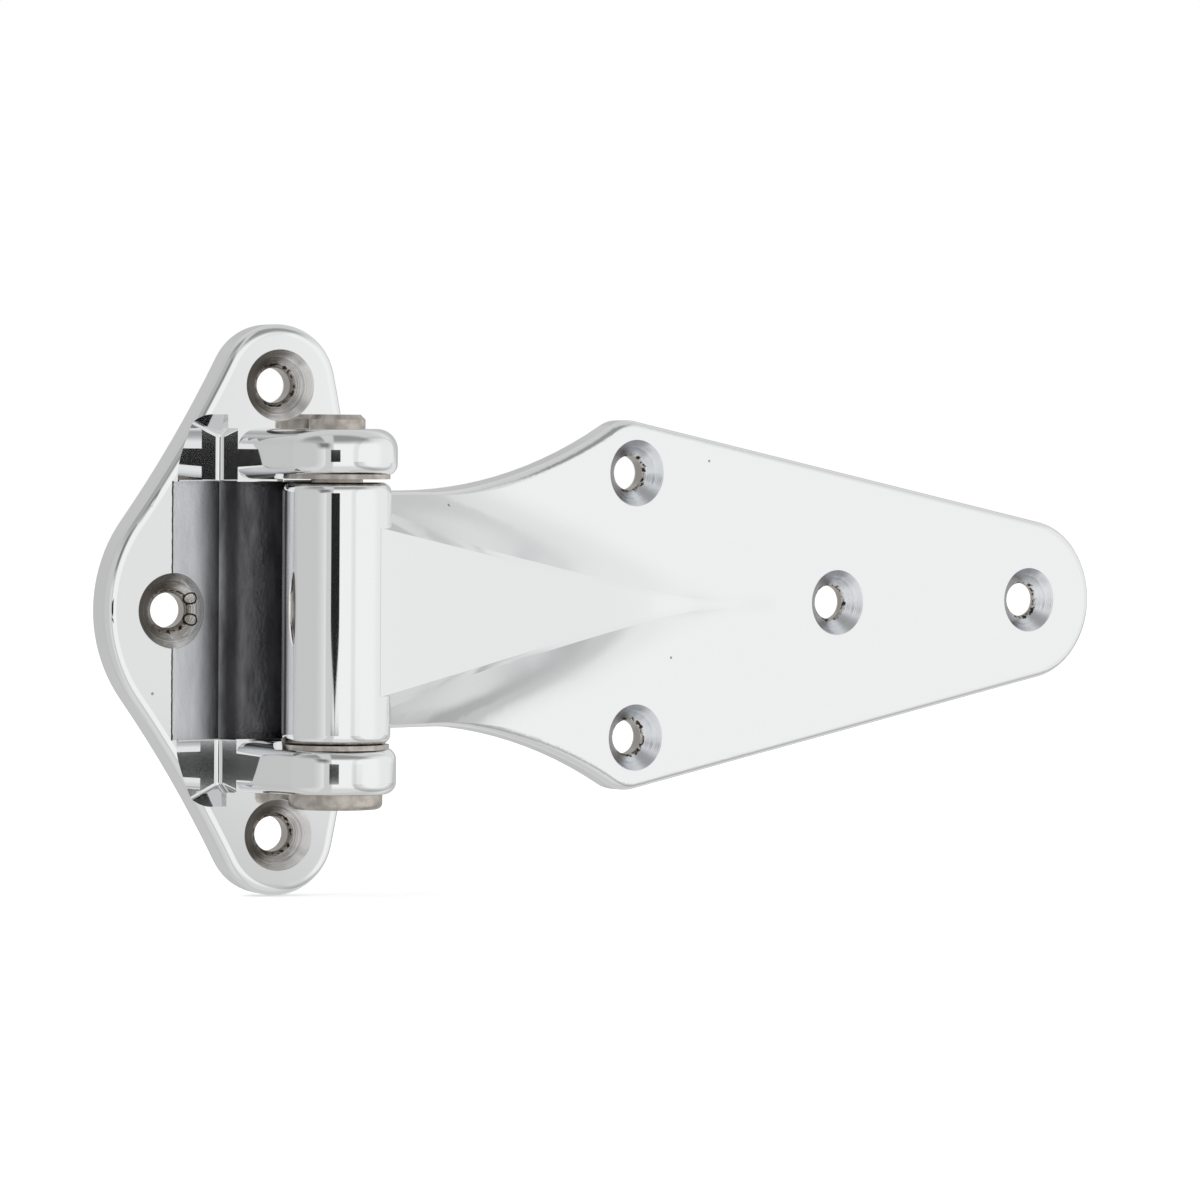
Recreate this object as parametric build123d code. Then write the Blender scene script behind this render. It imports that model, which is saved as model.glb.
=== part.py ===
from build123d import *
import math
import os

# Cooler door hinge: a chromed cast flange leaf with two ears, a chromed cast strap leaf
# with a barrel, a headed hinge pin and two thrust washers.
# Frame: +Z up along the pin, X from the flange towards the strap, -Y out of the frame.
# The back of the flange lies on the plane Y=0 and the pin axis crosses X=0.
# Lengths are in millimetres, angles in degrees.

# Pin and barrel
PIN_HEIGHT = 16.5
PIN_R = 4.75
PIN_RUNNING_CLEARANCE = 0.08
PIN_SEAT_CLEARANCE = 0.02
PIN_HEAD_R = 8.6
PIN_HEAD_T = 2.7
PIN_HEAD_EDGE = 1.1
PIN_TAIL_R = 5.15
PIN_TAIL_T = 2.6
PIN_TAIL_CHAMFER = 0.9
BARREL_R = 10.0
BARREL_LENGTH = 47.9
BARREL_EDGE = 1.9

# Thrust washers
WASHER_R = 9.75
WASHER_T = 0.9
WASHER_BORE_CLEARANCE = 0.2
END_PLAY = 0.6

# Flange plate
PLATE_T = 7.4
PLATE_EDGE = 2.0
END_HOLE_X = -7.8
END_HOLE_Z = 41.3
END_LOBE_R = 11.2
SIDE_HOLE_X = -28.1
SIDE_LOBE_TIP_X = -41.3
SIDE_LOBE_R = 28.0
FLANK_R = 230.0
RIGHT_EDGE_X = 7.7

# Flange ears and the groove at their foot
EAR_HEIGHT = 8.25
EAR_R = 11.1
EAR_HEEL_ANGLE = 45.0
EAR_ROOT_DEPTH = 3.0
EAR_TOP_EDGE = 3.8
EAR_BOTTOM_EDGE = 2.3
EAR_INNER_EDGE = 2.3
GROOVE_X = -17.9
GROOVE_FLOOR = 3.0
GROOVE_RIM_X = -27.6
GROOVE_FILLET = 1.1
GROOVE_OVERRUN = 2.5
GROOVE_END_SLOPE = 42.0

# How far cutters run past a surface, and how near two places count as the same
CUTTER_OVER = 3.0
SINK_OVER = 1.0
TOUCH = 0.01

# Cast recess between the ears
RECESS_RIM_X = -28.6
RECESS_STEP = 0.3
RECESS_END_STEP = 1.55
RECESS_DRAFT = 3.5
RECESS_SLOPE_DROP = 0.5
SLOPE_OVER = 12.0
SPOT_FACE_CLEARANCE = 0.5

# Screw holes
HOLE_R = 3.25
END_SINK_R = 6.6
SIDE_SINK_R = 6.95
STRAP_SINK_R = 6.35
FLANGE_SINK_ANGLE = 82.0
STRAP_SINK_ANGLE = 90.0

# Strap plate, measured along the strap from the pin axis
REST_ANGLE = 13.5
STRAP_START = 13.4
NECK_ROOT = 3.4
NECK_HALF_WIDTH = 21.9
NECK_STRAIGHT_END = 25.0
NECK_CURVE_R = 93.0
SHOULDER_R = 8.0
STRAP_TAPER = 11.0
STRAP_LENGTH = 190.5
TIP_R = 15.7
STRAP_EDGE = 1.8
STRAP_T = 5.3
STRAP_T_STATION = 76.3
STRAP_THIN_RATE = 0.0173
SHOULDER_HOLE_STATION = 76.3
SHOULDER_HOLE_HALF_PITCH = 25.2
CENTRE_HOLE_PITCH = 48.8
TIP_HOLE_INSET = 16.2

# Strap ridge
RIDGE_SLOPE = 14.2
RIDGE_HALF_WIDTH = 16.0
RIDGE_NARROWING = 0.181
RIDGE_END_HALF_WIDTH = 0.5
RIDGE_RUN_OUT = 24.0
HOLLOW_R = 23.0
HOLLOW_END_WIDTH = 9.0
HOLLOW_LEAD = 0.38
HOLLOW_TAIL = 0.5
WALL_DRAFT = 22.0
WALL_END = 30.0
WALL_GROWTH = 0.026
WALL_EASE = 0.06
BEVEL_WIDTH = 0.8
BEVEL_SHARE = 0.04
NECK_RELIEF_ANGLE = 34.0
RIDGE_SECTIONS = 12
BLANK_HALF_WIDTH = 46.0


def polar(centre, radius, angle):
    """Point at an angle in degrees round a centre in the plane."""
    turn = math.radians(angle)
    return centre[0] + radius * math.cos(turn), centre[1] + radius * math.sin(turn)


def bearing(start, end):
    """Angle in degrees of the way from one point to another."""
    return math.degrees(math.atan2(end[1] - start[1], end[0] - start[0]))


def arc(centre, radius, start, end):
    """Arc round a centre between two angles, counted the way the numbers run."""
    middle = (start + end) / 2
    return ThreePointArc(polar(centre, radius, start), polar(centre, radius, middle), polar(centre, radius, end))


def circle_meeting(centre_a, radius_a, centre_b, radius_b, side):
    """The point on two circles that lies on the chosen side of the line from a to b."""
    gap = math.dist(centre_a, centre_b)
    along = (radius_a**2 - radius_b**2 + gap**2) / (2 * gap)
    across = math.sqrt(radius_a**2 - along**2)
    ux = (centre_b[0] - centre_a[0]) / gap
    uy = (centre_b[1] - centre_a[1]) / gap
    return centre_a[0] + along * ux - side * across * uy, centre_a[1] + along * uy + side * across * ux


def closed_face(half_edges):
    """Face between half an outline above the X axis and its mirror image."""
    upper = Curve() + half_edges
    return make_face(upper + mirror(upper, about=Plane.XZ))


def countersunk(x, z, sink_r, angle, face_height):
    """Cutter for a countersunk screw hole whose rim lies at a height above the back face."""
    spread = math.tan(math.radians(angle / 2))
    low = face_height - (sink_r - HOLE_R) / spread
    high = face_height + SINK_OVER
    sink = Pos(0, 0, (low + high) / 2) * Cone(HOLE_R, sink_r + SINK_OVER * spread, high - low)
    bore = Pos(0, 0, face_height / 2) * Cylinder(HOLE_R, face_height + 2 * SINK_OVER)
    return Pos(x, 0, z) * Rot(90, 0, 0) * (sink + bore)


def upright(profile, low, high):
    """Solid with a plan profile drawn in X and Y, from one height to another."""
    return Pos(0, 0, low) * extrude(profile, high - low, dir=(0, 0, 1))


def pin_cylinder(radius, low, high):
    """Upright cylinder on the pin axis."""
    return upright(Pos(0, -PIN_HEIGHT) * Circle(radius), low, high)


ear_inner = BARREL_LENGTH / 2 + WASHER_T + END_PLAY / 2
ear_outer = ear_inner + EAR_HEIGHT
barrel_bottom = -ear_inner + WASHER_T
barrel_top = barrel_bottom + BARREL_LENGTH
recess_half_length = ear_inner - RECESS_END_STEP
tip_centre = STRAP_LENGTH - TIP_R
tip_hole_station = STRAP_LENGTH - TIP_HOLE_INSET
middle_hole_station = tip_hole_station - CENTRE_HOLE_PITCH
pin_centre = (0.0, -PIN_HEIGHT)
groove_foot = (GROOVE_X, -GROOVE_FLOOR)
arm_slope = bearing(groove_foot, pin_centre) - math.degrees(math.asin(EAR_R / math.dist(groove_foot, pin_centre)))
ridge_lean = math.radians(RIDGE_SLOPE)
ridge_fall = math.tan(ridge_lean) - STRAP_THIN_RATE
ridge_rise = PIN_HEIGHT + BARREL_R / math.cos(ridge_lean) - STRAP_T - STRAP_THIN_RATE * STRAP_T_STATION
ridge_end = ridge_rise / ridge_fall + RIDGE_RUN_OUT
STRAP_HOLES = [
    (SHOULDER_HOLE_STATION, SHOULDER_HOLE_HALF_PITCH), (SHOULDER_HOLE_STATION, -SHOULDER_HOLE_HALF_PITCH),
    (middle_hole_station, 0), (tip_hole_station, 0)]


def flange_outline():
    """Three-lobed plate outline, drawn with X across and Z up."""
    side_centre = (SIDE_LOBE_TIP_X + SIDE_LOBE_R, 0.0)
    end_centre = (END_HOLE_X, END_HOLE_Z)
    flank_centre = circle_meeting(side_centre, SIDE_LOBE_R + FLANK_R, end_centre, END_LOBE_R + FLANK_R, 1)
    reach = RIGHT_EDGE_X - END_LOBE_R
    bow_x = (reach**2 - END_HOLE_X**2 - END_HOLE_Z**2) / (2 * (reach - END_HOLE_X))
    bow_centre = (bow_x, 0.0)
    bow_top = bearing(bow_centre, end_centre)
    end_join = bearing(end_centre, flank_centre)
    side_join = bearing(side_centre, flank_centre)
    return closed_face([
        arc(bow_centre, RIGHT_EDGE_X - bow_x, 0, bow_top),
        arc(end_centre, END_LOBE_R, bow_top, end_join),
        arc(flank_centre, FLANK_R, end_join - 180, side_join - 180),
        arc(side_centre, SIDE_LOBE_R, side_join, 180)])


def slope_start(rim_x, floor):
    """Where the trough's left slope would start above the plate's face."""
    run = (PLATE_T - floor) / (GROOVE_X - rim_x)
    return rim_x - SLOPE_OVER, -PLATE_T - SLOPE_OVER * run


def ear_profile():
    """Side view of an ear: an arm out of the groove, the round end and a heel into the plate."""
    sunk = polar(groove_foot, -EAR_ROOT_DEPTH, arm_slope)
    touch = polar(pin_centre, EAR_R, arm_slope - 90)
    heel = polar(pin_centre, EAR_R, EAR_HEEL_ANGLE)
    heel_foot = (heel[0] - (sunk[1] - heel[1]) * math.tan(math.radians(EAR_HEEL_ANGLE)), sunk[1])
    round_end = arc(pin_centre, EAR_R, arm_slope - 90, EAR_HEEL_ANGLE)
    return make_face(Line(sunk, touch) + round_end + Polyline(heel, heel_foot, sunk))


def ear_rim(solid, high):
    """Edges of an ear's flat side that run round its front, without the one sunk in the plate."""
    side = solid.faces().sort_by(Axis.Z)[-1 if high else 0]
    return [edge for edge in side.edges() if edge.center().Y < -GROOVE_FLOOR]


def ear(outer_edge):
    """The upper ear, with a rounded outer rim and a drafted, rounded inner side."""
    solid = upright(ear_profile(), recess_half_length - CUTTER_OVER, ear_outer)
    solid = fillet(ear_rim(solid, True), outer_edge)
    front = PIN_HEIGHT + EAR_R + CUTTER_OVER
    spread = front * math.tan(math.radians(RECESS_DRAFT))
    low = -CUTTER_OVER
    wall = Polygon(
        (0, low), (0, recess_half_length), (-front, recess_half_length + spread), (-front, low), align=None)
    solid -= Pos(-front, 0, 0) * extrude(Plane.YZ * wall, 2 * front, dir=(1, 0, 0))
    return fillet(ear_rim(solid, False), EAR_INNER_EDGE)


def groove():
    """Cutter for the trough at the foot of the ears, with sloped ends and rounded corners."""
    start = slope_start(GROOVE_RIM_X, GROOVE_FLOOR)
    top = polar(groove_foot, PIN_HEIGHT, arm_slope)
    profile = make_face(Polyline(start, groove_foot, top, (start[0], top[1]), close=True))
    half = ear_outer + GROOVE_OVERRUN
    cutter = upright(profile, -half - CUTTER_OVER, half + CUTTER_OVER)
    fall = math.tan(math.radians(GROOVE_END_SLOPE))
    depth = PLATE_T - GROOVE_FLOOR
    ends = Polygon(
        (0, half - PLATE_T * fall), (0, PLATE_T * fall - half), (-PLATE_T, -half),
        (-PLATE_T - depth, -half - depth * fall), (-PLATE_T - depth, half + depth * fall), (-PLATE_T, half),
        align=None)
    cutter &= Pos(GROOVE_RIM_X * 2, 0, 0) * extrude(Plane.YZ * ends, -2 * GROOVE_RIM_X, dir=(1, 0, 0))
    lower = [edge for edge in cutter.edges() if edge.bounding_box().max.Y > -GROOVE_FLOOR - TOUCH]
    cutter = fillet(lower, GROOVE_FILLET)
    arm_side = Polygon(groove_foot, (0, -GROOVE_FLOOR), (0, top[1]), (GROOVE_X, top[1]), align=None)
    kept = upright(arm_side, ear_outer, half + CUTTER_OVER)
    return cutter - kept - mirror(kept, about=Plane.XY)


def recess():
    """Cutter for the unpolished cast hollow between the ears."""
    floor = GROOVE_FLOOR - RECESS_STEP
    start = slope_start(RECESS_RIM_X, floor)
    right_x = RIGHT_EDGE_X + CUTTER_OVER
    profile = make_face(Polyline(
        start, (GROOVE_X, -floor), (right_x, RECESS_SLOPE_DROP - floor), (right_x, start[1]), close=True))
    return upright(profile, -recess_half_length, recess_half_length)


def flange_leaf():
    """Cast leaf that is screwed to the door frame."""
    plate = extrude(Plane.XZ * flange_outline(), PLATE_T)
    plate = fillet(plate.faces().sort_by(Axis.Y)[0].edges(), PLATE_EDGE)
    plate -= recess()
    plate -= countersunk(SIDE_HOLE_X, 0, SIDE_SINK_R, FLANGE_SINK_ANGLE, PLATE_T)
    for z in (END_HOLE_Z, -END_HOLE_Z):
        plate -= countersunk(END_HOLE_X, z, END_SINK_R, FLANGE_SINK_ANGLE, PLATE_T)
    body = plate + ear(EAR_TOP_EDGE) + mirror(ear(EAR_BOTTOM_EDGE), about=Plane.XY)
    body -= groove()
    body -= pin_cylinder(EAR_R + SPOT_FACE_CLEARANCE, -ear_inner, ear_inner)
    body -= pin_cylinder(PIN_R + PIN_SEAT_CLEARANCE, -ear_outer - CUTTER_OVER, ear_outer + CUTTER_OVER)
    return body


def strap_height(station):
    """Height of the strap's flat face above its back at a station along it."""
    return STRAP_T - STRAP_THIN_RATE * (station - STRAP_T_STATION)


def ridge_height(station):
    """Height of the ridge's crest: tangent to the barrel, then run out into the plate."""
    straight = PIN_HEIGHT + BARREL_R / math.cos(ridge_lean) - station * math.tan(ridge_lean)
    to_end = ridge_end - station
    if to_end >= 2 * RIDGE_RUN_OUT:
        return straight
    return strap_height(station) + ridge_fall * to_end**2 / (4 * RIDGE_RUN_OUT)


def eased(value, ease):
    """A value that falls smoothly to nothing instead of going below it."""
    return (value + math.hypot(value, ease)) / 2


def strap_section(station):
    """Cross-section of the strap blank: the ridge's flat top, a drafted wall and a hollow on each side."""
    side = BLANK_HALF_WIDTH
    plate = strap_height(station)
    crest = ridge_height(station)
    rise = crest - plate
    facet = eased(RIDGE_HALF_WIDTH - RIDGE_NARROWING * station, 2 * RIDGE_END_HALF_WIDTH)
    drop = rise * (BEVEL_SHARE + eased(WALL_GROWTH * (WALL_END - station), WALL_EASE))
    brow_x = facet + BEVEL_WIDTH + drop * math.tan(math.radians(WALL_DRAFT))
    brow = crest - drop
    fall = brow - plate
    hollow = math.sqrt(2 * HOLLOW_R * fall - fall**2 + HOLLOW_END_WIDTH**2)
    lead = HOLLOW_LEAD * hollow / math.hypot(hollow, 2 * fall)
    lead_x = brow_x + lead * hollow
    lead_y = brow - lead * 2 * fall
    foot = brow_x + hollow
    tail = foot - HOLLOW_TAIL * hollow
    edges = [
        Line((-side, 0), (side, 0)),
        Line((side, 0), (side, plate)),
        Line((side, plate), (foot, plate)),
        Bezier((foot, plate), (tail, plate), (lead_x, lead_y), (brow_x, brow)),
        Line((brow_x, brow), (facet, crest)),
        Line((facet, crest), (-facet, crest)),
        Line((-facet, crest), (-brow_x, brow)),
        Bezier((-brow_x, brow), (-lead_x, lead_y), (-tail, plate), (-foot, plate)),
        Line((-foot, plate), (-side, plate)),
        Line((-side, plate), (-side, 0))]
    across = Plane(origin=(station, 0, 0), x_dir=(0, 0, 1), z_dir=(1, 0, 0))
    return across * Face(Wire(edges))


def strap_outline():
    """Kite-shaped outline of the strap, drawn with X along it and Z up."""
    neck_centre = (NECK_STRAIGHT_END, NECK_HALF_WIDTH + NECK_CURVE_R)
    tip = (tip_centre, 0.0)
    lean = math.radians(STRAP_TAPER)
    normal = (math.sin(lean), math.cos(lean))
    edge_offset = normal[0] * tip_centre + TIP_R
    # the shoulder's centre lies SHOULDER_R inside the straight edge
    # and SHOULDER_R + NECK_CURVE_R from the neck curve's centre
    inset = edge_offset - SHOULDER_R - normal[0] * neck_centre[0] - normal[1] * neck_centre[1]
    slide = math.sqrt((NECK_CURVE_R + SHOULDER_R)**2 - inset**2)
    shoulder = (neck_centre[0] + inset * normal[0] + slide * normal[1],
                neck_centre[1] + inset * normal[1] - slide * normal[0])
    neck_join = bearing(shoulder, neck_centre)
    edge_angle = 90 - STRAP_TAPER
    return closed_face([
        Line((NECK_ROOT, 0), (NECK_ROOT, NECK_HALF_WIDTH)),
        Line((NECK_ROOT, NECK_HALF_WIDTH), (NECK_STRAIGHT_END, NECK_HALF_WIDTH)),
        arc(neck_centre, NECK_CURVE_R, -90, neck_join - 180),
        arc(shoulder, SHOULDER_R, neck_join, edge_angle),
        Line(polar(shoulder, SHOULDER_R, edge_angle), polar(tip, TIP_R, edge_angle)),
        arc(tip, TIP_R, edge_angle, 0)])


def neck_mask():
    """Side view of what the leaf may fill: clear of the flange as the hinge folds back."""
    far = STRAP_LENGTH + CUTTER_OVER
    high = -PIN_HEIGHT - BARREL_R - CUTTER_OVER
    knee = polar(pin_centre, STRAP_START / math.cos(math.radians(NECK_RELIEF_ANGLE)), NECK_RELIEF_ANGLE)
    touch = polar(pin_centre, BARREL_R, RIDGE_SLOPE - 90)
    return make_face(Polyline(
        pin_centre, knee, (STRAP_START, CUTTER_OVER), (far, CUTTER_OVER), (far, high), (touch[0], high), touch, close=True))


def swung(solid):
    """Turn a solid that is drawn in line with the flange back to the strap's rest angle."""
    return Pos(0, -PIN_HEIGHT) * Rot(0, 0, REST_ANGLE) * Pos(0, PIN_HEIGHT) * solid


def strap_plate():
    """Kite-shaped plate with its ridge and a rounded front rim."""
    start = BARREL_R * math.sin(ridge_lean)
    step = (ridge_end - start) / (RIDGE_SECTIONS - 1)
    ridge = loft([strap_section(start + step * index) for index in range(RIDGE_SECTIONS)])
    far = STRAP_LENGTH + CUTTER_OVER
    side = Polygon(
        (ridge_end, 0), (far, 0), (far, -strap_height(far)), (ridge_end, -strap_height(ridge_end)), align=None)
    blank = ridge + upright(side, -BLANK_HALF_WIDTH, BLANK_HALF_WIDTH)
    outline = extrude(Plane.XZ * strap_outline(), PIN_HEIGHT + BARREL_R, dir=(0, -1, 0))
    plate = blank & outline & upright(neck_mask(), -BLANK_HALF_WIDTH, BLANK_HALF_WIDTH)
    walls = [face for face in plate.faces() if abs(face.normal_at().Y) < TOUCH
             and face.bounding_box().max.X > STRAP_START + TOUCH]
    return fillet([wall.edges().sort_by(Axis.Y)[0] for wall in walls], STRAP_EDGE)


def strap_leaf():
    """Cast leaf that is screwed to the door, drawn in line with the flange and then swung."""
    barrel = pin_cylinder(BARREL_R, barrel_bottom, barrel_top)
    barrel = fillet(barrel.edges().filter_by(GeomType.CIRCLE), BARREL_EDGE)
    leaf = strap_plate() + barrel
    leaf -= pin_cylinder(PIN_R + PIN_RUNNING_CLEARANCE, barrel_bottom - CUTTER_OVER, barrel_top + CUTTER_OVER)
    for x, z in STRAP_HOLES:
        leaf -= countersunk(x, z, STRAP_SINK_R, STRAP_SINK_ANGLE, strap_height(x))
    return swung(leaf)


def hinge_pin():
    """Pin with a flat head below and a swelled, chamfered tail above."""
    head = pin_cylinder(PIN_HEAD_R, -ear_outer - PIN_HEAD_T, -ear_outer)
    head = fillet(head.edges().sort_by(Axis.Z)[0], PIN_HEAD_EDGE)
    tail = pin_cylinder(PIN_TAIL_R, ear_outer, ear_outer + PIN_TAIL_T)
    tail = chamfer(tail.edges().sort_by(Axis.Z)[-1], PIN_TAIL_CHAMFER)
    return head + pin_cylinder(PIN_R, -ear_outer, ear_outer) + tail


def washer(low):
    """Thin disc between an ear and the barrel."""
    high = low + WASHER_T
    bore = pin_cylinder(PIN_R + WASHER_BORE_CLEARANCE, low - CUTTER_OVER, high + CUTTER_OVER)
    return pin_cylinder(WASHER_R, low, high) - bore


def build():
    """Make every piece of the hinge and write it to its own file."""
    pieces = {
        "flange_leaf": flange_leaf(),
        "strap_leaf": strap_leaf(),
        "hinge_pin": hinge_pin(),
        "upper_washer": washer(ear_inner - WASHER_T),
        "lower_washer": washer(-ear_inner)}
    os.makedirs("parts", exist_ok=True)
    for name, solid in pieces.items():
        solid.label = name
        export_step(solid, f"parts/{name}.step")


if __name__ == "__main__":
    build()
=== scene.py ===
"""Looks of the cooler door hinge: polished chrome leaves, a dull nickel pin and steel thrust washers."""
import math

import bmesh
import bpy
from mathutils import Matrix, Vector


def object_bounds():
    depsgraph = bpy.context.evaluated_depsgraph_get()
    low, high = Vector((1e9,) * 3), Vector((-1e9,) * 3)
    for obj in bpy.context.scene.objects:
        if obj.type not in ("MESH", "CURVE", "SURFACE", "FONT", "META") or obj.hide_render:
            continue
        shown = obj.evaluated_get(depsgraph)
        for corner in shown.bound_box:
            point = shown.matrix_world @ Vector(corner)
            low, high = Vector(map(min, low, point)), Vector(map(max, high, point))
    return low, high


# Camera, fitted to the photograph
VIEW_AZIMUTH = math.radians(-22.5)
VIEW_ELEVATION = math.radians(1.5)
VIEW_ROLL = math.radians(0.35)
VIEW_DISTANCE = 1.3
VIEW_LENS = 213.3
SENSOR = 36.0
CLIP_START = 0.05
CLIP_END = 50.0
PIN_LEFT_OF_AXIS = 0.0482
PIN_BELOW_AXIS = 0.0021

# Places on the hinge, in metres
PIN_POINT = Vector((0.0, -0.0165, 0.0))
REST_TURN = math.radians(13.5)
FLANGE_FACE = -0.0074
RECESS_RIM_X = -0.0286
RECESS_HALF = 0.0236
VALLEY_X = -0.0179
THROAT_OPENINGS = [(-0.0241, 0.0022), (-0.0240, -0.0017)]
FLANGE_PITS = [(-0.0323, -0.0151), (-0.0270, -0.0189), (-0.0102, 0.0204), (-0.0098, 0.0199)]
STRAP_PITS = [(0.0936, 0.0275), (0.0846, -0.0101), (0.0285, 0.0193)]

# Countersinks: place across and up the leaf, and the rim's radius
FLANGE_SINKS = [(-0.0078, 0.0413, 0.0066), (-0.0078, -0.0413, 0.0066), (-0.0281, 0.0, 0.00695)]
STRAP_SINKS = [(0.0763, 0.0252, 0.00635), (0.0763, -0.0252, 0.00635), (0.1255, 0.0, 0.00635),
               (0.1743, 0.0, 0.00635)]

# Depth in front of a leaf's back over which its front finish begins
FRONT_SKIN = (0.0001, 0.0004)

# Chrome, with its polish and waviness
CHROME = (0.88, 0.885, 0.89, 1)
POLISH = (0.02, 0.06)
POLISH_SCALE = 60.0
WAVE_SCALE = 22.0
WAVE_DETAIL = 1.0
WAVINESS = 0.00004

# Countersinks: limits are shares of the rim's radius; the light and dark tones mix by turned rings, random
# blotches and a painted highlight on one side with painted shade on the other
BROWN_LIGHT = (0.97, 0.96, 0.95, 1)
BROWN_DARK = (0.20, 0.19, 0.175, 1)
BLUE_LIGHT = (0.90, 0.925, 0.955, 1)
BLUE_DARK = (0.36, 0.37, 0.39, 1)
THROAT = (0.04, 0.035, 0.03, 1)
CRUST = (0.60, 0.56, 0.51, 1)
BORE = (0.46, 0.43, 0.40, 1)
SINK_RIM = (0.985, 1.0)
THROAT_RIM = (0.66, 0.70)
BORE_RIM = (0.515, 0.53)
# Tilt of the slant that paints a highlight on one side of each countersink and shade on the other
LIT_SIDE_TILT = 0.5
RING_SCALE = 14.0
RING_ROUGHNESS = 0.7
RING_SHARE = 0.45
RING_DEPTH = 0.00006
BLOTCH_SCALE = 420.0
BLOTCH_SHARE = 0.35
# Share of the painted highlight and shade in the countersinks' tone
LIT_SIDE_SHARE = 0.36
TURNED_TONE = (0.20, 0.64)
TURNED_ROUGHNESS = 0.22
GRIT_SCALE = 1300.0
GRIT_REACH = 0.18
CRUST_TONE = (0.42, 0.50)

# Where the strap's flank is less polished: centre, half-width and fade, across and along the leaf
HAZE_ACROSS = (0.0115, 0.002, 0.006)
HAZE_ALONG = (0.046, 0.010, 0.025)
HAZE_ROUGHNESS = 0.22

# The crest's last stretch: centre, half-width and fade along the leaf, and the slope beside it
CREST_ALONG = (0.0955, 0.0045, 0.014)
CREST_SLOPE = 0.5
CREST_REACH = 0.0022
CREST_ROUND = 0.0006

# Pits, and the openings in the side hole's throat: a ring of painted shade round a cream spot of shaded
# backdrop seen through
PIT = (0.35, 0.35, 0.36, 1)
PIT_R = 0.00022
# Painted shade round each opening
OPENING_SHADE = (0.03, 0.03, 0.03, 1)
OPENING_SHADE_R = 0.0011
OPENING = (0.92, 0.90, 0.84, 1)
OPENING_R = 0.0008
SPOT_FADE = 0.0001

# Cast recess: its edges, its skin, and the darker bands across its floor: dark cast skin with painted shade
# from the barrel over it, and painted shade darkest beside the valley
RECESS_DEPTH = (-FLANGE_FACE - 0.0001, -FLANGE_FACE - 0.0003)
RECESS_SIDE = (RECESS_RIM_X - 0.0001, RECESS_RIM_X + 0.0001)
RECESS_ENDS = (RECESS_HALF + 0.0001, RECESS_HALF + 0.0003)
SLOPE_LIGHT = (0.86, 0.88, 0.90, 1)
SLOPE_DARK = (0.66, 0.67, 0.70, 1)
# Floor tones: dark cast skin with painted shade from the barrel over it
FLOOR_CAST_AND_SHADE_LIGHT = (0.25, 0.25, 0.26, 1)
FLOOR_CAST_AND_SHADE_DARK = (0.08, 0.08, 0.085, 1)
FLOOR_CAST_AND_SHADE_ALONG = (VALLEY_X - 0.0062, VALLEY_X + 0.0012)
PAST_BARREL = (-0.004, 0.006)
# Painted shade, darkest, in a band beside the valley
DEEP_SHADE = (0.025, 0.025, 0.03, 1)
DEEP_SHADE_ALONG = (VALLEY_X + 0.0024, 0.0005, 0.0018)
DEEP_SHADE_SHARE = 0.8
STREAK = (1.0, 1.0, 0.25)
MOTTLE_SCALE = 260.0
MOTTLE_DETAIL = 5.0
MOTTLE_ROUGHNESS = 0.65
MOTTLE_TONE = (0.25, 0.75)
SLOPE_BARENESS = 0.75
CAST_ROUGHNESS = 0.24
GRAIN_SCALE = 1500.0
GRAIN_DEPTH = 0.00005
# Painted shadow of the small step at the recess's rim
RIM_STEP_SHADOW = (0.05, 0.05, 0.05, 1)
RIM_STEP_SHADOW_ACROSS = (RECESS_RIM_X + 0.0002, 0.00012, 0.00006)
RIM_STEP_SHADOW_ENDS = (RECESS_HALF, RECESS_HALF + 0.0002)
RAGGED_SCALE = 700.0
RAGGED_REACH = 0.0003

# Pin and washers
NICKEL_LIGHT = (0.60, 0.56, 0.51, 1)
NICKEL_DARK = (0.42, 0.39, 0.35, 1)
NICKEL_ROUGHNESS = 0.34
STEEL_LIGHT = (0.62, 0.58, 0.54, 1)
STEEL_DARK = (0.40, 0.37, 0.34, 1)
STEEL_ROUGHNESS = 0.36
DULL_SCALE = 450.0
DULL_TONE = (0.35, 0.65)
DULL_SPREAD = 0.06
LATHE_SCALE = 2500.0
LATHE_DETAIL = 2.0
LATHE_DEPTH = 0.00003
LATHE_STRENGTH = 0.4

# Floor, surroundings and lamp
WORLD_ON_OBJECT = 0.8
FLOOR_GAP = 0.0002
FLOOR_SIZE = 6.0
FLOOR_WHITE = (0.9, 0.9, 0.9, 1)
FLOOR_ROUGHNESS = 0.9
FLOOR_GLOW = 0.35
KEY_AZIMUTH = -50
KEY_ELEVATION = 45
KEY_DISTANCE = 1.5
KEY_SIZE = 1.0
KEY_POWER = 8.0

# Light tent: its size, its tones, and where one tone turns to the next
TENT_R = 1.5
TENT_SEGMENTS = 48
TENT_RINGS = 32
TENT_RIGHT = 0.97
TENT_LEFT = 0.62
TENT_BACK = 0.55
TENT_TOP_FRONT = 0.32
TENT_TOP_BACK = 0.66
TENT_BELOW_FRONT = 0.74
TENT_BELOW_BACK = 0.64
RIGHT_FALL = 0.08
LEFT_TURN = (-0.10, -0.70)
RIGHT_TURN = (0.12, -0.25)
BACK_TURN = (-0.65, -0.92)
BEHIND_TURN = (0.2, -0.15)
TOP_TURN = (0.40, 0.85)
BELOW_TURN = (-0.40, -0.85)

# Dark camera in the tent: it narrows to a point at its waist and stands on a full-width foot
CAMERA_TONE = 0.02
CAMERA_SIDE = -0.01
CAMERA_HALF = 0.155
CAMERA_HIGH = 0.024
CAMERA_LOW = -0.077
CAMERA_WAIST = -0.060
WAIST_RISE = 0.030
WAIST_STEP = 0.002
CAMERA_FADE = 0.012
CAMERA_EDGE = 0.001

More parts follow.
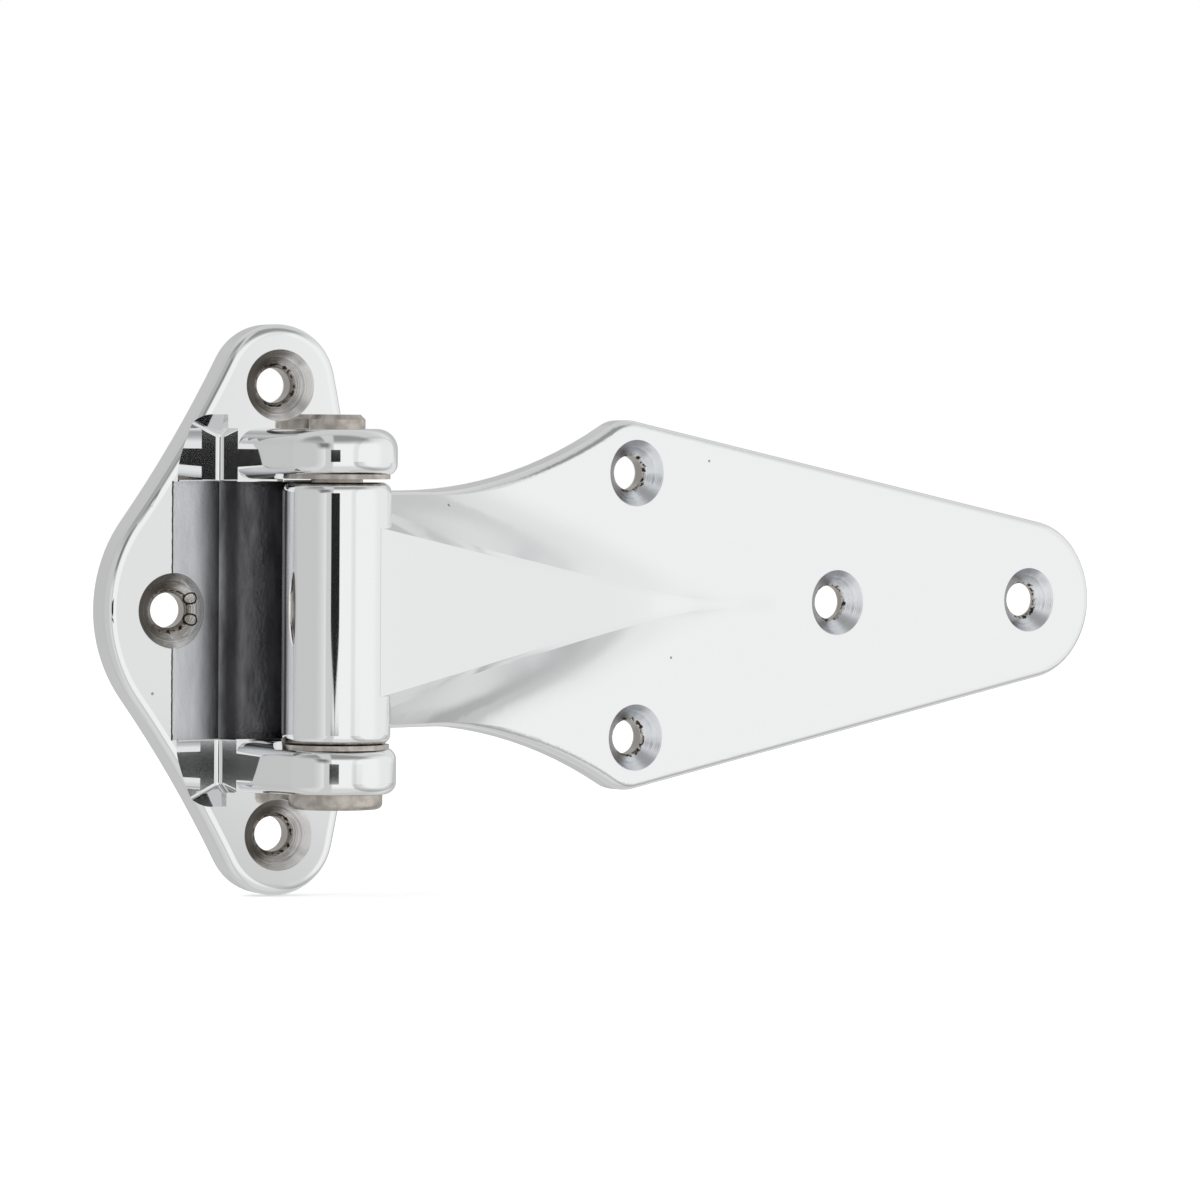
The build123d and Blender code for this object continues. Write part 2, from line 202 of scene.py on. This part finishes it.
# Greyer patches in the tent: left of the camera, higher up, and where the flange's plate reflects
SHOULDER_TONE = 0.66
SHOULDER_ACROSS = (CAMERA_SIDE - 0.2, 0.1, 0.06)
STAND_TONE = 0.22
STAND_ACROSS = (-0.36, 0.06, 0.22)
STAND_UP = (0.42, 0.08, 0.22)
PLATE_RIGHT = (0.86, 0.74)
PLATE_LEFT = (0.50, 0.60)
LOBE_FALL = 0.25
LOBE_TURN = (-0.04, -0.12)
LEFT_FALL = 0.13
LEFT_EDGE = (0.70, 0.65)


def node(tree, kind, **settings):
    """New shader node with its properties and unlinked inputs set by name."""
    made = tree.nodes.new(kind)
    for name, value in settings.items():
        if name in made.inputs:
            made.inputs[name].default_value = value
        else:
            setattr(made, name, value)
    return made


def feed(tree, socket, value):
    """Link a socket into an input, or set the input to a plain value."""
    if isinstance(value, bpy.types.NodeSocket):
        tree.links.new(value, socket)
    else:
        socket.default_value = value


def calc(tree, operation, first, second=None):
    """Math node on sockets or plain numbers; returns its result."""
    made = node(tree, "ShaderNodeMath", operation=operation)
    feed(tree, made.inputs[0], first)
    if second is not None:
        feed(tree, made.inputs[1], second)
    return made.outputs[0]


def product(tree, *factors):
    """Product of several sockets or numbers."""
    result = factors[0]
    for factor in factors[1:]:
        result = calc(tree, "MULTIPLY", result, factor)
    return result


def total(tree, *terms):
    """Sum of several sockets or numbers."""
    result = terms[0]
    for term in terms[1:]:
        result = calc(tree, "ADD", result, term)
    return result


def rest_of(tree, value):
    """One less a value."""
    return calc(tree, "SUBTRACT", 1.0, value)


def mixed(tree, factor, first, second):
    """Colour mix between two sockets or colours."""
    made = node(tree, "ShaderNodeMix", data_type="RGBA")
    feed(tree, made.inputs["Factor"], factor)
    feed(tree, made.inputs[6], first)
    feed(tree, made.inputs[7], second)
    return made.outputs[2]


def blended(tree, factor, first, second):
    """Number mix between two sockets or numbers."""
    made = node(tree, "ShaderNodeMix", data_type="FLOAT")
    feed(tree, made.inputs[0], factor)
    feed(tree, made.inputs[2], first)
    feed(tree, made.inputs[3], second)
    return made.outputs[0]


def ramp(tree, value, low, high):
    """0 at low, 1 at high and smooth between, whichever of the two is larger."""
    made = node(tree, "ShaderNodeMapRange", interpolation_type="SMOOTHSTEP")
    feed(tree, made.inputs["Value"], value)
    made.inputs["From Min"].default_value = low
    made.inputs["From Max"].default_value = high
    return made.outputs["Result"]


def band(tree, value, centre, half, fade):
    """1 within a half-width of a centre, 0 outside, with soft ends."""
    away = calc(tree, "ABSOLUTE", calc(tree, "SUBTRACT", value, centre))
    return rest_of(tree, ramp(tree, away, half, half + fade))


def noise(tree, place, scale, detail=3.0, roughness=0.5):
    """Noise at a place, scale in features per metre."""
    made = node(tree, "ShaderNodeTexNoise", Scale=scale, Detail=detail, Roughness=roughness)
    tree.links.new(place, made.inputs["Vector"])
    return made.outputs["Fac"]


def bump(tree, height, distance, strength):
    """Bump from a height socket; distance in metres."""
    made = node(tree, "ShaderNodeBump", Strength=strength, Distance=distance)
    tree.links.new(height, made.inputs["Height"])
    return made.outputs["Normal"]


def dot(tree, vector, fixed):
    """How far a direction socket points along a fixed direction."""
    made = node(tree, "ShaderNodeVectorMath", operation="DOT_PRODUCT")
    tree.links.new(vector, made.inputs[0])
    made.inputs[1].default_value = fixed
    return made.outputs["Value"]


def seen_rays(tree):
    """1 on rays that the eye, a mirror or a lens sees."""
    path = tree.nodes.new("ShaderNodeLightPath")
    seen = calc(tree, "MAXIMUM", path.outputs["Is Camera Ray"], path.outputs["Is Glossy Ray"])
    return calc(tree, "MAXIMUM", seen, path.outputs["Is Transmission Ray"])


def new_material(name):
    """Material with a Principled shader; returns the material, its tree and the shader."""
    material = bpy.data.materials.new(name)
    material.use_nodes = True
    tree = material.node_tree
    return material, tree, tree.nodes["Principled BSDF"]


def leaf_place(tree, turn):
    """Position in the leaf's own frame: turned back about the pin where the leaf is swung."""
    place = tree.nodes.new("ShaderNodeTexCoord").outputs["Object"]
    if turn:
        spin = node(tree, "ShaderNodeVectorRotate", rotation_type="Z_AXIS", Center=PIN_POINT, Angle=-turn)
        tree.links.new(place, spin.inputs["Vector"])
        place = spin.outputs["Vector"]
    return place


class Finish:
    """A leaf's surface as it is built up: colour, roughness, relief and metal, layer over layer."""

    def __init__(self, name, turn):
        self.material, self.tree, self.shader = new_material(name)
        tree = self.tree
        self.place = leaf_place(tree, turn)
        parts = tree.nodes.new("ShaderNodeSeparateXYZ")
        tree.links.new(self.place, parts.inputs[0])
        self.x = parts.outputs[0]
        self.z = parts.outputs[2]
        self.height = product(tree, parts.outputs[1], -1.0)
        self.off_middle = calc(tree, "ABSOLUTE", self.z)
        self.ahead = ramp(tree, self.height, *FRONT_SKIN)
        self.sunk = 0.0
        self.colour = CHROME
        self.roughness = blended(tree, noise(tree, self.place, POLISH_SCALE), *POLISH)
        self.relief = product(tree, noise(tree, self.place, WAVE_SCALE, WAVE_DETAIL), WAVINESS)
        self.metallic = 1.0

    def applied(self):
        """Link the finished layers to the shader and hand over the material."""
        feed(self.tree, self.shader.inputs["Normal"], bump(self.tree, self.relief, 1.0, 1.0))
        feed(self.tree, self.shader.inputs["Base Color"], self.colour)
        feed(self.tree, self.shader.inputs["Roughness"], self.roughness)
        feed(self.tree, self.shader.inputs["Metallic"], self.metallic)
        return self.material


def away_from(finish, x, z):
    """Distance from a place on the leaf's front, with the step across and the step up."""
    tree = finish.tree
    across = calc(tree, "SUBTRACT", finish.x, x)
    up = calc(tree, "SUBTRACT", finish.z, z)
    away = calc(tree, "SQRT", total(tree, product(tree, across, across), product(tree, up, up)))
    return away, across, up


def paint_spot(finish, x, z, radius, colour):
    """Round spot on the leaf's front."""
    tree = finish.tree
    away = away_from(finish, x, z)[0]
    inside = rest_of(tree, ramp(tree, away, radius, radius + SPOT_FADE))
    finish.colour = mixed(tree, product(tree, inside, finish.ahead), finish.colour, colour)


def nearest_sink(finish, sinks):
    """Distance from the nearest hole's axis as a share of its rim, and a slant across that hole that sets
    its painted highlight and painted shade.
    """
    tree = finish.tree
    nearest = None
    side = 0.0
    for x, z, radius in sinks:
        away, across, up = away_from(finish, x, z)
        away = calc(tree, "DIVIDE", away, radius)
        nearest = away if nearest is None else calc(tree, "MINIMUM", nearest, away)
        # Slant across the hole: lighter to the right and below as a painted highlight, darker up to the left
        # as painted shade
        lit_slant = calc(tree, "DIVIDE", calc(tree, "SUBTRACT", across, product(tree, up, LIT_SIDE_TILT)), radius)
        side = total(tree, product(tree, lit_slant, calc(tree, "LESS_THAN", away, 1.0)), side)
    return nearest, side


def turn_sinks(finish, sinks, light, dark):
    """Turned countersinks: rings of tone, a painted highlight on one side and painted shade on the other, a
    gritty throat and a dull bore.
    """
    tree = finish.tree
    nearest, side = nearest_sink(finish, sinks)
    outward = tree.nodes.new("ShaderNodeCombineXYZ")
    tree.links.new(nearest, outward.inputs["X"])
    rings = noise(tree, outward.outputs[0], RING_SCALE, roughness=RING_ROUGHNESS)
    blotch = noise(tree, finish.place, BLOTCH_SCALE)
    # Tone from the turned rings, random blotches and the painted highlight and shade
    tone = total(tree, product(tree, rings, RING_SHARE), product(tree, blotch, BLOTCH_SHARE),
                 product(tree, side, LIT_SIDE_SHARE))
    metal = mixed(tree, ramp(tree, tone, *TURNED_TONE), dark, light)
    grit = noise(tree, finish.place, GRIT_SCALE)
    crust = mixed(tree, ramp(tree, grit, *CRUST_TONE), THROAT, CRUST)
    ragged = total(tree, nearest, product(tree, grit, GRIT_REACH))
    metal = mixed(tree, rest_of(tree, ramp(tree, ragged, *THROAT_RIM)), metal, crust)
    metal = mixed(tree, rest_of(tree, ramp(tree, nearest, *BORE_RIM)), metal, BORE)
    finish.sunk = product(tree, rest_of(tree, ramp(tree, nearest, *SINK_RIM)), finish.ahead)
    finish.colour = mixed(tree, finish.sunk, finish.colour, metal)
    finish.roughness = blended(tree, finish.sunk, finish.roughness, TURNED_ROUGHNESS)
    finish.relief = total(tree, finish.relief, product(tree, rings, finish.sunk, RING_DEPTH))


def haze_flanks(finish):
    """Duller polish on the hollow flanks beside the ridge."""
    tree = finish.tree
    brow = product(tree, band(tree, finish.off_middle, *HAZE_ACROSS), band(tree, finish.x, *HAZE_ALONG),
                   finish.ahead)
    finish.roughness = blended(tree, brow, finish.roughness, HAZE_ROUGHNESS)


def carry_crest(finish):
    """Shallow relief that carries the ridge's crest on over its last stretch."""
    tree = finish.tree
    off = calc(tree, "SQRT", total(tree, product(tree, finish.z, finish.z), CREST_ROUND**2))
    crest = calc(tree, "EXPONENT", calc(tree, "DIVIDE", off, -CREST_REACH))
    crest = product(tree, crest, band(tree, finish.x, *CREST_ALONG), finish.ahead)
    finish.relief = total(tree, finish.relief, product(tree, crest, CREST_SLOPE * CREST_REACH))


def paint_pits(finish, places):
    """Small pits in the plating."""
    for x, z in places:
        paint_spot(finish, x, z, PIT_R, PIT)


def recess_skin(finish, shaded_floor):
    """Mottled cast metal, pale on the recess's slope; on its floor dark cast skin with painted shade over
    it, and painted shade darkest beside the valley.
    """
    tree = finish.tree
    streak = node(tree, "ShaderNodeMapping", Scale=STREAK)
    tree.links.new(finish.place, streak.inputs["Vector"])
    mottle = noise(tree, streak.outputs["Vector"], MOTTLE_SCALE, MOTTLE_DETAIL, MOTTLE_ROUGHNESS)
    mottle = ramp(tree, mottle, *MOTTLE_TONE)
    slope = mixed(tree, mottle, SLOPE_DARK, SLOPE_LIGHT)
    cast_and_shade = mixed(tree, mottle, FLOOR_CAST_AND_SHADE_DARK, FLOOR_CAST_AND_SHADE_LIGHT)
    skin = mixed(tree, shaded_floor, slope, cast_and_shade)
    return mixed(tree, product(tree, band(tree, finish.x, *DEEP_SHADE_ALONG), DEEP_SHADE_SHARE), skin, DEEP_SHADE)


def cast_recess(finish):
    """Unpolished cast hollow between the ears, its floor darkened by painted shade."""
    tree = finish.tree
    cast = product(
        tree, ramp(tree, finish.x, *RECESS_SIDE), rest_of(tree, ramp(tree, finish.off_middle, *RECESS_ENDS)),
        ramp(tree, finish.height, *RECESS_DEPTH), finish.ahead, rest_of(tree, finish.sunk))
    # Where the floor gets painted shade: from beside the valley to past the barrel's middle
    shaded_floor = product(
        tree, ramp(tree, finish.x, *FLOOR_CAST_AND_SHADE_ALONG), rest_of(tree, ramp(tree, finish.x, *PAST_BARREL)))
    finish.colour = mixed(tree, cast, finish.colour, recess_skin(finish, shaded_floor))
    finish.metallic = rest_of(tree, product(tree, cast, rest_of(tree, shaded_floor), SLOPE_BARENESS))
    finish.roughness = blended(tree, cast, finish.roughness, CAST_ROUGHNESS)
    grain = product(tree, noise(tree, finish.place, GRAIN_SCALE), cast, GRAIN_DEPTH)
    finish.relief = total(tree, finish.relief, grain)


def shadow_recess_rim(finish):
    """Ragged painted shadow of the small step where the polish stops at the recess's rim."""
    tree = finish.tree
    ragged = total(tree, finish.x, product(tree, noise(tree, finish.place, RAGGED_SCALE), RAGGED_REACH))
    inner = rest_of(tree, ramp(tree, finish.off_middle, *RIM_STEP_SHADOW_ENDS))
    bare = calc(tree, "SUBTRACT", finish.ahead, finish.sunk)
    step_shadow = product(tree, band(tree, ragged, *RIM_STEP_SHADOW_ACROSS), inner, bare)
    finish.colour = mixed(tree, step_shadow, finish.colour, RIM_STEP_SHADOW)


def open_throat(finish, places):
    """Painted openings that look broken through beside the side hole's throat: a ring of painted shade round
    a cream spot that stands for the shaded backdrop seen through.
    """
    for x, z in places:
        paint_spot(finish, x, z, OPENING_SHADE_R, OPENING_SHADE)
        paint_spot(finish, x, z, OPENING_R, OPENING)


def flange_chrome():
    """Chromed flange with turned countersinks and a cast recess."""
    finish = Finish("flange_chrome", 0.0)
    turn_sinks(finish, FLANGE_SINKS, BROWN_LIGHT, BROWN_DARK)
    paint_pits(finish, FLANGE_PITS)
    cast_recess(finish)
    shadow_recess_rim(finish)
    open_throat(finish, THROAT_OPENINGS)
    return finish.applied()


def strap_chrome():
    """Chromed strap with turned countersinks, duller flanks and a long fine crest."""
    finish = Finish("strap_chrome", REST_TURN)
    turn_sinks(finish, STRAP_SINKS, BLUE_LIGHT, BLUE_DARK)
    haze_flanks(finish)
    carry_crest(finish)
    paint_pits(finish, STRAP_PITS)
    return finish.applied()


def dull_metal(name, light, dark, roughness):
    """Turned metal with a faint lathe grain and a mottled tone."""
    material, tree, shader = new_material(name)
    place = leaf_place(tree, 0.0)
    tone = noise(tree, place, DULL_SCALE)
    feed(tree, shader.inputs["Base Color"], mixed(tree, ramp(tree, tone, *DULL_TONE), dark, light))
    rough = blended(tree, tone, roughness - DULL_SPREAD, roughness + DULL_SPREAD)
    feed(tree, shader.inputs["Roughness"], rough)
    grain = noise(tree, place, LATHE_SCALE, LATHE_DETAIL)
    feed(tree, shader.inputs["Normal"], bump(tree, grain, LATHE_DEPTH, LATHE_STRENGTH))
    shader.inputs["Metallic"].default_value = 1.0
    return material


def set_material(piece, material):
    """Give every slot of a CAD node one material."""
    if not piece.material_slots:
        piece.data.materials.append(material)
    for slot in piece.material_slots:
        slot.material = material


def direction(azimuth, elevation):
    """Unit vector from the hinge; azimuth 0 is straight in front and positive to the right."""
    level = math.cos(elevation)
    return Vector((math.sin(azimuth) * level, -math.cos(azimuth) * level, math.sin(elevation)))


def view_axes():
    """Camera's right, up and back directions, with its roll."""
    back = direction(VIEW_AZIMUTH, VIEW_ELEVATION)
    level = Vector((math.cos(VIEW_AZIMUTH), math.sin(VIEW_AZIMUTH), 0.0))
    upright = back.cross(level)
    right = level * math.cos(VIEW_ROLL) + upright * math.sin(VIEW_ROLL)
    up = upright * math.cos(VIEW_ROLL) - level * math.sin(VIEW_ROLL)
    return right, up, back


def add_camera():
    """Camera at the photograph's viewing angle."""
    right, up, back = view_axes()
    place = PIN_POINT + back * VIEW_DISTANCE + right * PIN_LEFT_OF_AXIS + up * PIN_BELOW_AXIS
    data = bpy.data.cameras.new("camera")
    data.sensor_width = SENSOR
    data.lens = VIEW_LENS
    data.clip_start = CLIP_START
    data.clip_end = CLIP_END
    camera = bpy.data.objects.new("camera", data)
    turn = Matrix((right, up, back)).transposed().to_4x4()
    camera.matrix_world = Matrix.Translation(place) @ turn
    bpy.context.scene.collection.objects.link(camera)
    bpy.context.scene.camera = camera


def add_world():
    """White surroundings for the eye and for the mirror-like metal, softer on rough surfaces."""
    world = bpy.data.worlds.new("tent")
    bpy.context.scene.world = world
    world.use_nodes = True
    tree = world.node_tree
    back = tree.nodes["Background"]
    feed(tree, back.inputs["Strength"], blended(tree, seen_rays(tree), WORLD_ON_OBJECT, 1.0))
    back.inputs["Color"].default_value = (1, 1, 1, 1)


def tent_ground(tree, side, near, rise):
    """Tone of the tent's walls, top and underside: bright to the right, greyer to the left and behind."""
    tone = blended(tree, ramp(tree, side, *LEFT_TURN), TENT_RIGHT, TENT_LEFT)
    tone = blended(tree, ramp(tree, near, *RIGHT_TURN), tone, product(tree, tone, 1.0 - RIGHT_FALL))
    tone = blended(tree, ramp(tree, near, *BACK_TURN), tone, TENT_BACK)
    behind = ramp(tree, near, *BEHIND_TURN)
    above = blended(tree, behind, TENT_TOP_FRONT, TENT_TOP_BACK)
    tone = blended(tree, ramp(tree, rise, *TOP_TURN), tone, above)
    below = blended(tree, behind, TENT_BELOW_FRONT, TENT_BELOW_BACK)
    return blended(tree, ramp(tree, rise, *BELOW_TURN), tone, below)


def tent_patches(tree, tone, side, rise, facing):
    """Greyer patches: left of the camera, higher up, and where the flange's plate reflects."""
    shoulder = product(tree, band(tree, side, *SHOULDER_ACROSS), facing)
    tone = blended(tree, shoulder, tone, SHOULDER_TONE)
    stand = product(tree, band(tree, side, *STAND_ACROSS), facing, band(tree, rise, *STAND_UP))
    tone = blended(tree, stand, tone, STAND_TONE)
    plate = product(tree, ramp(tree, side, *PLATE_RIGHT), ramp(tree, side, *PLATE_LEFT))
    lobe = product(tree, plate, ramp(tree, rise, *LOBE_TURN), LOBE_FALL)
    left = product(tree, plate, ramp(tree, side, *LEFT_EDGE), LEFT_FALL)
    return product(tree, tone, rest_of(tree, total(tree, lobe, left)))


def tent_camera(tree, side, rise, facing):
    """1 on the dark camera, whose outline narrows to a point at the waist."""
    waist = calc(tree, "MAXIMUM", ramp(tree, rise, CAMERA_WAIST, CAMERA_WAIST + WAIST_RISE),
                 calc(tree, "LESS_THAN", rise, CAMERA_WAIST - WAIST_STEP))
    off = calc(tree, "ABSOLUTE", calc(tree, "SUBTRACT", side, CAMERA_SIDE))
    inside = calc(tree, "SUBTRACT", product(tree, waist, CAMERA_HALF), off)
    return product(
        tree, ramp(tree, inside, -CAMERA_FADE, CAMERA_FADE), facing,
        ramp(tree, rise, CAMERA_HIGH + CAMERA_EDGE, CAMERA_HIGH - CAMERA_EDGE),
        ramp(tree, rise, CAMERA_LOW - CAMERA_EDGE, CAMERA_LOW + CAMERA_EDGE))


def tent_material():
    """Glow of the tent by direction from the hinge."""
    material = bpy.data.materials.new("tent")
    material.use_nodes = True
    tree = material.node_tree
    tree.nodes.clear()
    out = tree.nodes.new("ShaderNodeOutputMaterial")
    glow = tree.nodes.new("ShaderNodeEmission")
    tree.links.new(glow.outputs[0], out.inputs["Surface"])
    way = node(tree, "ShaderNodeVectorMath", operation="NORMALIZE")
    tree.links.new(tree.nodes.new("ShaderNodeTexCoord").outputs["Object"], way.inputs[0])
    side = dot(tree, way.outputs[0], (math.cos(VIEW_AZIMUTH), math.sin(VIEW_AZIMUTH), 0.0))
    near = dot(tree, way.outputs[0], direction(VIEW_AZIMUTH, 0.0))
    rise = dot(tree, way.outputs[0], (0, 0, 1))
    facing = calc(tree, "GREATER_THAN", near, 0.0)
    tone = tent_ground(tree, side, near, rise)
    tone = tent_patches(tree, tone, side, rise, facing)
    tone = blended(tree, tent_camera(tree, side, rise, facing), tone, CAMERA_TONE)
    tree.links.new(tone, glow.inputs["Color"])
    return material


def add_tent():
    """Light tent that only the metal reflects."""
    mesh = bpy.data.meshes.new("tent")
    shape = bmesh.new()
    bmesh.ops.create_uvsphere(shape, u_segments=TENT_SEGMENTS, v_segments=TENT_RINGS, radius=TENT_R)
    shape.to_mesh(mesh)
    shape.free()
    mesh.materials.append(tent_material())
    tent = bpy.data.objects.new("tent", mesh)
    tent.location = PIN_POINT
    bpy.context.scene.collection.objects.link(tent)
    tent.visible_camera = False
    tent.visible_shadow = False
    tent.visible_diffuse = False


def add_floor(lowest):
    """Plain white floor that keeps the hinge's shadow."""
    mesh = bpy.data.meshes.new("floor")
    s = FLOOR_SIZE / 2
    z = lowest - FLOOR_GAP
    mesh.from_pydata([(-s, -s, z), (s, -s, z), (s, s, z), (-s, s, z)], [], [(0, 1, 2, 3)])
    floor = bpy.data.objects.new("floor", mesh)
    bpy.context.scene.collection.objects.link(floor)
    material, tree, shader = new_material("floor_white")
    shader.inputs["Base Color"].default_value = FLOOR_WHITE
    shader.inputs["Roughness"].default_value = FLOOR_ROUGHNESS
    shader.inputs["Emission Color"].default_value = (1, 1, 1, 1)
    feed(tree, shader.inputs["Emission Strength"], product(tree, seen_rays(tree), FLOOR_GLOW))
    mesh.materials.append(material)
    floor.visible_glossy = False


def add_key_lamp():
    """Soft square lamp up to the camera's left that faces the hinge."""
    way = direction(VIEW_AZIMUTH + math.radians(KEY_AZIMUTH), math.radians(KEY_ELEVATION))
    data = bpy.data.lights.new("key", "AREA")
    data.shape = "SQUARE"
    data.size = KEY_SIZE
    data.energy = KEY_POWER
    lamp = bpy.data.objects.new("key", data)
    bpy.context.scene.collection.objects.link(lamp)
    turn = way.to_track_quat("Z", "Y").to_matrix().to_4x4()
    lamp.matrix_world = Matrix.Translation(PIN_POINT + way * KEY_DISTANCE) @ turn
    lamp.visible_glossy = False


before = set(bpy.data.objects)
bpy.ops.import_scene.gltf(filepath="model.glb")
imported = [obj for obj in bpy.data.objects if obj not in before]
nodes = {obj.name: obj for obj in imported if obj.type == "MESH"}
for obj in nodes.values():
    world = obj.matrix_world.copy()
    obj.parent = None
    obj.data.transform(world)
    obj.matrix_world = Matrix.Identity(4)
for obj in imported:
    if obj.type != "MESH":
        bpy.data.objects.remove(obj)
cad_low, cad_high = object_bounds()

set_material(nodes["flange_leaf"], flange_chrome())
set_material(nodes["strap_leaf"], strap_chrome())
set_material(nodes["hinge_pin"], dull_metal("pin_nickel", NICKEL_LIGHT, NICKEL_DARK, NICKEL_ROUGHNESS))
washer_steel = dull_metal("washer_steel", STEEL_LIGHT, STEEL_DARK, STEEL_ROUGHNESS)
set_material(nodes["upper_washer"], washer_steel)
set_material(nodes["lower_washer"], washer_steel)

add_camera()
add_world()
add_floor(cad_low.z)
add_tent()
add_key_lamp()

bpy.context.scene.view_settings.view_transform = "Standard"
